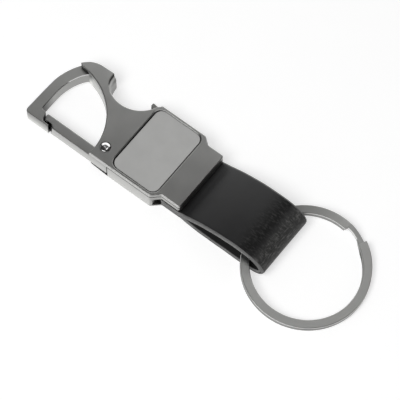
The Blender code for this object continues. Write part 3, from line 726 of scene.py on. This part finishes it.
# Faces painted with dimmer copies as shade: the hook arm's inner wall (which then takes the arm copy) and the lip of
# the opener's hook.
def frame_inside(x, y, z, n):
    if x < -26.0 and -8.6 < y < 7.3 and (n.x > 0.4 or n.y > 0.8) and n.z < 0.92 and z < 5.34:      # inner wall of the hook's arm
        return True
    return -20.4 < x < -18.2 and 6.2 < y < 11.3 and z < 3.95 and n.x > 0.3      # lip of the opener's hook


# painted shade on the scoop's face
shade_faces(frame_ob, lambda x, y, z, n: -21.0 < x < -18.0 and 6.0 < y < 11.4 and z > 3.8 and n.x > 0.2 and n.z > 0.2, 3)
shade_faces(frame_ob, frame_inside, 2)
# painted shade: the arm's inner wall takes the arm copy
shade_faces(frame_ob, lambda x, y, z, n: x < -26.0 and frame_inside(x, y, z, n), 4)
shade_faces(frame_ob, frame_gap)
# painted highlight on the arm's inner top edge
shade_faces(frame_ob, lambda x, y, z, n: z > 4.95 and 0.25 < n.z < 0.97 and -29.6 < x < -25.9 and 2.2 < y < 7.6
            and n.x > 0.05, 5)
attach(frame_ob, "body")
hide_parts("body_frame")

# =============================================================== front cover
cover_ob = stack("cover_plate", [(offset(COVER, 0.08), COVER_Z), (COVER, COVER_Z + 0.08),
                                 (COVER, BODY_T - 0.27), (offset(COVER, 0.03), BODY_T - 0.22),
                                 (offset(COVER, 0.21), BODY_T - 0.03), (offset(COVER, 0.26), BODY_T)])
tray = prism("t1", round_rect(-4.1, 10.15, PC_Y - 9.5, PC_Y + 9.5, 1.3), 4.9, COVER_Z + 0.3)
boolean(cover_ob, [tray], 'UNION')
pk = round_rect(-4.6, 10.7, PC_Y - 10.75, PC_Y + 10.75, 2.3, 14)
SCREWS = ((-2.3, 8.2), (8.4, 8.2), (-2.3, -8.0), (8.4, -8.0))
cuts = [stack("p1", [(pk, 5.82), (pk, BODY_T - 0.26), (offset(pk, -0.04), BODY_T - 0.21),
                     (offset(pk, -0.22), BODY_T - 0.03), (offset(pk, -0.30), BODY_T + 0.01),
                     (offset(pk, -0.30), BODY_T + 1)]),
        disc(PIVOT[0], PIVOT[1], BORE_R + 0.04, 4.0, 9.0, 48, "p2"),
        disc(PIVOT[0], PIVOT[1], 1.58, 6.2, 9.0, 64, "p3")]
for i, (x, y) in enumerate(SCREWS):
    ring = arc(x, y, 0.82, 0, 350, 35)
    big = arc(x, y, 1.5, 0, 350, 35)
    cuts.append(stack("s%d" % i, [(ring, 4.0), (ring, 5.05), (big, 5.72), (big, 6.6)]))
boolean(cover_ob, cuts)
soften(cover_ob, 0.035)
skin(cover_ob, COVER_MAT, SHADE_MAT, PAINTED_DIM_MAT, RIM_MAT)


# Faces painted near black as shadow: the cover's underside, the pocket's walls and floor, and the cover's wall above
# the scoop.
def cover_gap(x, y, z, n):
    if z < 5.6:
        return True
    if 5.79 < z < 6.53 and -4.7 < x < 10.8 and abs(y - PC_Y) < 10.85:
        return n.y > -0.7 and (n.z > 0.9 or edge_distance(pk, x, y) < 0.12)
    return -21.2 < x < -18.6 and 6.4 < y < 11.3 and n.x > 0.3 and z < 6.6


# Chamfers that take the dimmer copy as painted shade: on the +Y side, above the scoop and along the carabiner's edge.
def cover_rim(x, y, z, n):
    if z < 6.5 or not 0.2 < n.z < 0.97:
        return False
    if y > 9.5 and n.y > 0.4:
        return True
    if -21.2 < x < -18.0 and 6.4 < y < 11.4 and n.x > 0.2:         # towards the opener's mouth, above the scoop
        return True
    return x < -9.0 and n.x < 0.05 and edge_distance(CARAB_EDGE, x, y) < 0.4


shade_faces(cover_ob, cover_rim, 2)
# painted light on the pocket's -X chamfer
shade_faces(cover_ob, lambda x, y, z, n: z > 6.53 and 0.2 < n.z < 0.97 and n.x > 0.3 and abs(y - PC_Y) < 10.6
            and -4.7 < x < -3.0, 3)
shade_faces(cover_ob, cover_gap)
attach(cover_ob, "body")
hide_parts("front_cover")

# ===================================================================== inlay
ip = round_rect(-4.25, 10.42, PC_Y - 10.50, PC_Y + 10.72, 2.15, 14)
inlay = stack("inlay_plate", [(offset(ip, 0.02), 6.14), (ip, 6.16), (ip, 6.36), (offset(ip, 0.03), 6.41),
                              (offset(ip, 0.09), 6.44)])
weigh(inlay)
skin(inlay, INLAY_MAT)
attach(inlay, "body")
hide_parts("front_inlay")

# ====================================================================== gate
GATE_LOW = -0.62                 # the shoulder reaches further towards the nose at the bottom


def gate_outline(t):
    """t = 0 at the top of the gate, 1 at its bottom."""
    d = GATE_LOW * t
    return round_corners([(-23.72 + d, -11.6), (-5.05, -11.6), (-5.05, -8.6), (-27.3, -8.6), (-27.66, -9.05),
                          (-27.0, -10.72), (-24.72 + d * 0.3, -10.76), (-24.45 + d * 0.8, -11.05)],
                         {0: 0.25, 1: 0.3, 3: 0.25, 4: 0.2, 5: 0.12, 6: 0.25}, 5)


g = 0.17
lo, hi = gate_outline(1), gate_outline(0)
rings = [(offset(lo, g), 1.5), (offset(lo, g * 0.25), 1.5 + g * 0.25), (lo, 1.5 + g)]
for i in range(6):
    a = math.radians(18 * i)
    rings.append((offset(hi, 0.3 * (1 - math.cos(a))), 5.3 - 0.3 * (1 - math.sin(a))))
gate = stack("gate_arm", rings)
boolean(gate, [prism("h", arc(PIVOT[0], PIVOT[1], 2.3, 0, 354.375, 63), 1.51, 3.3)], 'UNION')
boolean(gate, [prism("gp", [(-11.15, -9.75), (-4.0, -9.75), (-4.0, -4.0), (-11.15, -4.0)], 3.3, 7.0),
               disc(PIVOT[0], PIVOT[1], BORE_R, 0.0, 6.9, 48, "gb"),
               prism("gt", [(-30.0, -12.5), (-24.9, -12.5), (-24.9, -8.0), (-30.0, -8.0)], 0.5, TIP_Z)])
soften(gate, 0.035)
skin(gate, GATE_MAT, SHADE_MAT)
# painted shadow on the tip's faces that face the nose
shade_faces(gate, lambda x, y, z, n: x < -24.3 and y < -8.95 and abs(n.z) < 0.25 and (n.x < -0.4 or n.y < -0.4)
            and y > -11.3)
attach(gate, "gate")
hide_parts("gate")

# ==================================================================== rivet
dome = [(1.43, 6.34), (1.43, 6.66)]
for i in range(1, 9):
    a = math.radians(90 * i / 8)
    dome.append((0.30 + 1.13 * math.cos(a), 6.66 + 0.54 * math.sin(a)))
profile = [(0, 0.18), (1.1, 0.18), (1.35, 0.22), (1.5, 0.36), (1.5, 0.62), (0.95, 0.62), (0.95, 6.32), (1.40, 6.32)]
profile += dome + [(0.24, 7.19), (0.18, 7.15), (0.12, 7.09), (0.05, 7.05), (0, 7.045)]
rivet = turned("rivet_domed", PIVOT, profile, 64, smooth=50)
skin(rivet, CHROME_MAT)
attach(rivet, "body")
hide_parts("gate_rivet")

# =================================================================== spring
px, py = PIVOT
path = [Vector((px - 1.1, py - 1.58, 3.62))]
for i in range(109):
    a = math.radians(-90 + 810 * i / 108)
    path.append(Vector((px + 1.58 * math.cos(a), py + 1.58 * math.sin(a), 3.62 + 1.33 * i / 108)))
path.append(path[-1] + Vector((0.0, 2.6, 0.02)))
sv, sf, NS = [], [], 14
for i, p in enumerate(path):
    t = (path[min(i + 1, len(path) - 1)] - path[max(i - 1, 0)]).normalized()
    side = t.cross(Vector((0, 0, 1))).normalized()
    nrm = side.cross(t).normalized()
    sv += [W(*(p + side * 0.18 * math.cos(2 * math.pi * k / NS) + nrm * 0.18 * math.sin(2 * math.pi * k / NS)))
           for k in range(NS)]
for i in range(len(path) - 1):
    sf += [(i * NS + k, i * NS + (k + 1) % NS, (i + 1) * NS + (k + 1) % NS, (i + 1) * NS + k) for k in range(NS)]
sf += [tuple(range(NS)), tuple(range((len(path) - 1) * NS, len(path) * NS))]
spring = mesh_object("spring_coil", sv, sf, 50)
skin(spring, STEEL_MAT)
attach(spring, "body")
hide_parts("gate_spring")

# ==================================================================== tooth
tooth_poly = round_corners([(-7.2, 10.6), (-6.6, 9.8), (-3.1, 9.7), (-3.1, 10.95), (-6.85, 11.5), (-7.2, 11.3)],
                           {0: 0.2, 1: 0.2, 4: 0.2, 5: 0.15}, 4)
tooth = stack("tooth_insert", [(offset(tooth_poly, 0.1), 2.2), (tooth_poly, 2.3), (tooth_poly, 4.95),
                               (offset(tooth_poly, 0.2), 5.2)])
weigh(tooth)
skin(tooth, TOOTH_MAT, TOOTH_DARK)
# painted shade on the faces turned to -X
shade_faces(tooth, lambda x, y, z, n: n.x < -0.35)
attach(tooth, "body")
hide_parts("opener_tooth")

# ============================================ hidden fixings keep their shape
for n in ("cover_screw_1", "cover_screw_2", "cover_screw_3", "cover_screw_4"):
    skin(NODES[n], ZINC_MAT)
for n in ("strap_pin_1", "strap_pin_2"):
    skin(NODES[n], PIN_STEEL)
skin(NODES["inlay_adhesive"], adh)

# ==================================================================== strap
fx, fz, fr = 19.4, 2.7, 1.65
STRAP_HALF, LEATHER_T, PLY_GAP = 9.75, 1.6, 0.14
STRAP_Y = -0.12                  # the strap sits a hair towards the gate's side
LOOP = [(20.4, 4.62), (22.2, 5.40), (25.0, 6.45), (28.4, 7.38), (31.8, 8.02), (35.2, 8.36), (38.4, 8.40),
        (41.2, 8.08), (43.4, 7.35), (45.2, 6.15), (46.25, 4.7), (46.5, 3.35), (46.0, 2.0), (44.9, 0.95),
        (43.2, 0.32), (40.8, 0.12), (37.0, 0.10), (33.0, 0.10), (29.0, 0.12), (25.5, 0.20), (22.6, 0.50),
        (20.4, 0.90)]
outer = smooth_route([(12.0, 3.84), (14.0, 3.84), (16.5, 3.84), (18.1, 3.86), (fx, fz + fr)] + LOOP
                     + [(fx, fz - fr), (18.2, 0.84), (16.5, 0.76), (14.0, 0.76), (12.0, 0.76)], 10)
outer = resample(outer, 0.28)


def normals(route):
    out = []
    for i in range(len(route)):
        t = (route[min(i + 1, len(route) - 1)] - route[max(i - 1, 0)]).normalized()
        out.append(Vector((t.y, -t.x)))
    return out


def strap_ply(name, d0, d1, half, top_round, top_width, bot_round):
    """Sweep a rounded section along the loop. d0 is the outer face's depth and d1 the inner face's."""
    nrm = normals(outer)
    th = d1 - d0
    sec = []                         # (y, depth, is_edge) round the section, seen along the strap
    ny = 22
    for i in range(ny + 1):
        sec.append((-half + top_width + (2 * half - 2 * top_width) * i / ny, 0.0, 0))
    for i in range(1, 8):
        a = math.radians(90 * i / 7)
        sec.append((half - top_width + top_width * math.sin(a), top_round * (1 - math.cos(a)), 1 if i > 1 else 0))
    for i in range(0, 4):
        a = math.radians(90 * i / 3)
        sec.append((half - bot_round + bot_round * math.cos(a), th - bot_round + bot_round * math.sin(a), 1))
    for i in range(1, ny):
        sec.append((half - bot_round - (2 * half - 2 * bot_round) * i / ny, th, 0))
    for i in range(0, 4):
        a = math.radians(90 * i / 3)
        sec.append((-half + bot_round - bot_round * math.sin(a), th - bot_round + bot_round * math.cos(a), 1))
    for i in range(0, 7):
        a = math.radians(90 * i / 7)
        sec.append((-half + top_width - top_width * math.cos(a), top_round - top_round * math.sin(a), 1 if i < 6 else 0))
    k = len(sec)
    verts, uvs, s = [], [], 0.0
    total = sum((q - p).length for p, q in zip(outer, outer[1:]))
    for i, p in enumerate(outer):
        if i:
            s += (p - outer[i - 1]).length
        held = max(0.0, min(1.0, (7.9 - min(s, total - s)) / 2.0))       # squeezed and cut square inside the clasp
        # fine creases where the leather turns back on itself
        zone = max(0.0, 1 - abs(s - 38.2) / 7.0)
        for y, d, edge in sec:
            dd = d0 + d
            if d < th * 0.5:
                w = noise.noise(Vector((s * 1.1, y * 0.10 + s * 0.05, 3.7)))
                w2 = noise.noise(Vector((s * 0.28, y * 0.16, 9.1)))
                dd += (0.045 * zone * w + 0.03 * max(0.0, min(1.0, (s - 12) / 10)) * w2)
            q = p + nrm[i] * dd
            yy = y + STRAP_Y + 0.05 * noise.noise(Vector((s * 0.22, 0.0, 5.0 if y > 0 else 1.0)))
            if y < 2 * top_width - half:
                yy += 0.24 * held
                if edge and d < top_round and y < top_width - half:
                    yy = yy + held * 0.8 * (-half + STRAP_Y + 0.24 - yy)
            verts.append(W(q.x, yy, q.y))
            uvs.append(((s + 1.3) / 100, (y + (d * (1 if y > 0 else -1) if edge else 0)) / 100 + (0.5 if d > th * 0.5 else 0)))
    faces, edge_face = [], []
    n = len(outer)
    for i in range(n - 1):
        for j in range(k):
            m = (j + 1) % k
            faces.append((i * k + j, i * k + m, (i + 1) * k + m, (i + 1) * k + j))
            edge_face.append(1 if sec[j][2] and sec[m][2] else 0)
    faces += [tuple(range(k)), tuple(range((n - 1) * k, n * k))]
    edge_face += [1, 1]
    me = bpy.data.meshes.new(name)
    me.from_pydata([tuple(v) for v in verts], [], faces)
    layer = me.uv_layers.new(name="strap_uv")
    for loop in me.loops:
        layer.data[loop.index].uv = uvs[loop.vertex_index]
    for poly, e in zip(me.polygons, edge_face):
        poly.material_index = e
    bm = bmesh.new()
    bm.from_mesh(me)
    bmesh.ops.recalc_face_normals(bm, faces=bm.faces)
    bm.to_mesh(me)
    bm.free()
    me.shade_smooth()
    me.set_sharp_from_angle(angle=math.radians(55))
    ob = bpy.data.objects.new(name, me)
    scene.collection.objects.link(ob)
    return ob


outer_ply = strap_ply("leather_outer", 0.0, LEATHER_T / 2 - PLY_GAP / 2, STRAP_HALF, 0.42, 0.8, 0.22)
skin(outer_ply, LEATHER, EDGE)
lining_ply = strap_ply("leather_lining", LEATHER_T / 2 + PLY_GAP / 2 - 0.04, LEATHER_T, STRAP_HALF - 0.06,
                       0.22, 0.24, 0.22)
skin(lining_ply, LINING, EDGE)
for ob, reps in ((outer_ply, ("strap_outer_ply", "strap_end_upper")), (lining_ply, ("strap_lining_ply",
                                                                                  "strap_end_lower"))):
    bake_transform(ob)
    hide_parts(*reps)

# =============================================================== split ring
RC, TILT = (54.0, -0.986, 2.4135), math.radians(4.8)
RIN, ROUT, WT, WG = 15.0, 17.5, 0.92, 0.06
ux, uz, nx, nz = math.cos(TILT), -math.sin(TILT), math.sin(TILT), math.cos(TILT)


def ring_point(rad, deg, h):
    a = math.radians(deg)
    lx, ly = rad * math.cos(a), rad * math.sin(a)
    return W(RC[0] + lx * ux + h * nx, RC[1] + ly, RC[2] + lx * uz + h * nz)


half = (WT + WG) / 2
stops = []                           # angle, height, inner radius, outer radius, thickness
N1 = 230
for i in range(N1):
    t = min(1.0, 339.0 * i / N1 / 38.0)
    dr = 0.42 * (1 - t * t * (3 - 2 * t))             # the cut end stands a little proud
    stops.append((63.0 - 339.0 * i / N1, half, RIN + dr * 0.6, ROUT + dr, WT))
for i in range(33):
    t = i / 32
    s = t * t * (3 - 2 * t)
    e = max(0.0, (t - 0.7) / 0.3)
    b = min(1.0, t / 0.07) * (1 - 0.5 * e * e * (3 - 2 * e))
    stops.append((84.0 - 360 - 21.0 * t, half - 2 * half * s, RIN + 0.85 * b, ROUT, WT,
                  (0.12 + 0.30 * math.sin(math.pi * t)) * min(1.0, t / 0.07, (1 - t) / 0.05)))
for i in range(1, N1 + 1):
    stops.append((63.0 - 360 - 338.0 * i / N1, -half, RIN + 0.42 * max(0.0, 1 - i / 6), ROUT, WT))
c = 0.24
rv, rf = [], []
SEC = []
for qx, qy, a0 in ((1, 1, 0), (-1, 1, 90), (-1, -1, 180), (1, -1, 270)):
    for j in range(4):
        a = math.radians(a0 + 30 * j)
        SEC.append((qx, qy, math.cos(a), math.sin(a)))
for deg, h, ri, ro, th, *wide in stops:
    mid, hw, hh = (ri + ro) / 2, (ro - ri) / 2, th / 2
    for qx, qy, ca, sa in SEC:
        cc = c + (wide[0] if wide and qx < 0 < qy else 0.0)
        rv.append(ring_point(mid + qx * (hw - cc) + cc * ca, deg, h + qy * (hh - cc) + cc * sa))
K = len(SEC)
for i in range(len(stops) - 1):
    rf += [(i * K + k, i * K + (k + 1) % K, (i + 1) * K + (k + 1) % K, (i + 1) * K + k) for k in range(K)]
rf += [tuple(range(K)), tuple(range((len(stops) - 1) * K, len(stops) * K))]
ring = mesh_object("ring_wire", rv, rf, 40)
weigh(ring)
skin(ring, RING_MAT, RING_EDGE, RING_SLOPE, RING_WALL)
for f in ring.data.polygons:         # painted highlight on the rounded edges of the upper turn and the step, painted shade on the walls and the lower turn's edges, painted light on the step's flat faces
    at = min(f.vertices) // K
    tilt = f.normal.dot(Vector((nx, 0, nz)))
    if at < N1 + 32 and 0.22 < tilt < 0.93 and max(f.vertices) - min(f.vertices) <= K + 1:
        f.material_index = 1
    elif abs(tilt) < 0.93:
        f.material_index = 3
    elif N1 < at < N1 + 32:
        f.material_index = 2
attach(ring, "split_ring")
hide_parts("split_ring")

# ============================================================ stage and light
floor_me = bpy.data.meshes.new("floor")
S = 3.0
floor_me.from_pydata([(-S, -S, -0.00004), (S, -S, -0.00004), (S, S, -0.00004), (-S, S, -0.00004)], [], [(0, 1, 2, 3)])
floor = bpy.data.objects.new("floor", floor_me)
scene.collection.objects.link(floor)
fm = Mat("floor_white", (0.60, 0.60, 0.60), 0.9)      # a back-lit white table: its own glow fills the shadows
fm.b.inputs["Specular IOR Level"].default_value = 0.0
fm.b.inputs["Emission Color"].default_value = (1, 1, 1, 1)
fm.b.inputs["Emission Strength"].default_value = 0.60
fm_n = fm.noise(fm.coords(), 60.0, 3.0)
fm.set("Base Color", fm.mix(fm.rng(fm_n, 0.3, 0.7, 0, 1), (0.595, 0.595, 0.595), (0.605, 0.605, 0.605)))
floor.data.materials.append(fm.m)

AZ, EL, DIST, LENS = 37.983, 64.652, 0.700, 234.93
az, el = math.radians(AZ), math.radians(EL)
back = Vector((math.sin(az) * math.cos(el), -math.cos(az) * math.cos(el), math.sin(el)))
cam_data = bpy.data.cameras.new("camera")
cam_data.lens, cam_data.sensor_width = LENS, 36.0
cam_data.clip_start, cam_data.clip_end = 0.01, 20.0
cam = bpy.data.objects.new("camera", cam_data)
scene.collection.objects.link(cam)
target = W(19.180, -1.809, 0.0)
cam.location = target + back * DIST
cam.rotation_mode = 'QUATERNION'
cam.rotation_quaternion = (-back).to_track_quat('-Z', 'Y')
scene.camera = cam

world = bpy.data.worlds.new("studio")
scene.world = world
world.use_nodes = True
wn = world.node_tree
bg = wn.nodes["Background"]
bg.inputs["Color"].default_value = (1, 1, 1, 1)
lp = wn.nodes.new("ShaderNodeLightPath")         # the room is dark, behind a white backdrop
level = None
for ray, amount in (("Is Camera Ray", 0.93), ("Is Diffuse Ray", 0.22)):
    wm = wn.nodes.new("ShaderNodeMath")
    wm.operation = 'MULTIPLY_ADD'
    wn.links.new(lp.outputs[ray], wm.inputs[0])
    wm.inputs[1].default_value = amount
    wm.inputs[2].default_value = 0.035
    if level is not None:
        wn.links.new(level, wm.inputs[2])
    level = wm.outputs[0]
wn.links.new(level, bg.inputs["Strength"])

left = Vector((-math.cos(az), -math.sin(az), 0))
away = Vector((-math.sin(az), math.cos(az), 0))


def aim(az, el):
    az, el = math.radians(az), math.radians(el)
    return Vector((math.cos(az) * math.cos(el), math.sin(az) * math.cos(el), math.sin(el)))


def light(name, place, facing, size, radiance, diffuse=True, glossy=True):
    """A flat white panel centred at `place` (m); `facing` points from the object back to the panel."""
    ld = bpy.data.lights.new(name, 'AREA')
    if isinstance(size, tuple):
        ld.shape, ld.size, ld.size_y = 'RECTANGLE', size[0], size[1]
        area = size[0] * size[1]
    else:
        ld.shape, ld.size = 'DISK', size
        area = math.pi * size * size / 4
    ld.energy = radiance * area * math.pi
    ob = bpy.data.objects.new(name, ld)
    scene.collection.objects.link(ob)
    ob.location = place
    ob.rotation_mode = 'QUATERNION'
    ob.rotation_quaternion = facing.to_track_quat('Z', 'Y')
    ob.visible_camera = False
    ob.visible_diffuse = diffuse
    ob.visible_glossy = glossy
    return ob


# a tall panel behind the object, a small one overhead, a long low one in front, and a soft sun that only shades
light("backdrop", (-0.102, 0.129, 0.091), aim(113.0, 2.4), (0.322, 0.263), 1.24, diffuse=False)
light("overhead", (0.058, 0.091, 0.497), Vector((0, 0, 1)), (0.123, 0.255), 1.55, diffuse=False)
light("front_low", aim(-85, 22) * 0.9, aim(-85, 22), (1.00, 0.35), 2.2, diffuse=False)
light("soft_sun", aim(-98, 57) * 0.9, aim(-98, 57), 0.50, 7.0, glossy=False)

scene.view_settings.view_transform = 'Standard'
scene.view_settings.look = 'None'
scene.view_settings.exposure = 0.0
scene.view_settings.gamma = 1.0
scene.cycles.use_denoising = True
scene.cycles.max_bounces = 8
